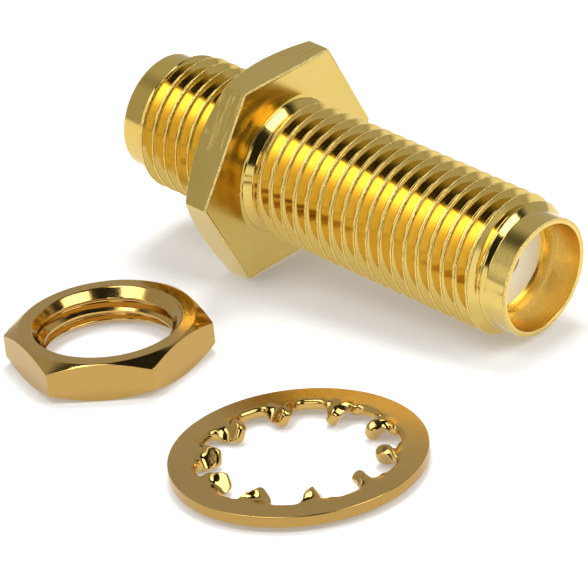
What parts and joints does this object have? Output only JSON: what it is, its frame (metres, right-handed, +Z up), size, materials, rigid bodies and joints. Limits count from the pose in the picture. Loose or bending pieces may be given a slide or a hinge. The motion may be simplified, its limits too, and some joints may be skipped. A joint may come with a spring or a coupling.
{
  "type": "sma connector",
  "caption": "Gold-plated coaxial bulkhead adapter, threaded socket at both ends with a hex flange, lying with its hex nut and internal-tooth lock washer.",
  "frame": {"origin": "on the bench, under the middle of the whole set's box", "axes": "+Z up; +X along the adapter in plan, towards the open nose of its long barrel"},
  "size_m": [0.0262, 0.025, 0.0096],
  "materials": {
    "gold_plate": "bright gold plating over turned brass",
    "washer_gold": "gold plating over a stamped, tumbled spring blank",
    "contact_gold": "gold plating over spring copper alloy",
    "ptfe": "matt white fluoropolymer"
  },
  "bodies": {
    "root": {"connector_body": "gold_plate", "front_dielectric": "ptfe", "rear_dielectric": "ptfe", "centre_contact": "contact_gold", "bulkhead_nut": "gold_plate", "lock_washer": "washer_gold"}
  },
  "joints": []
}
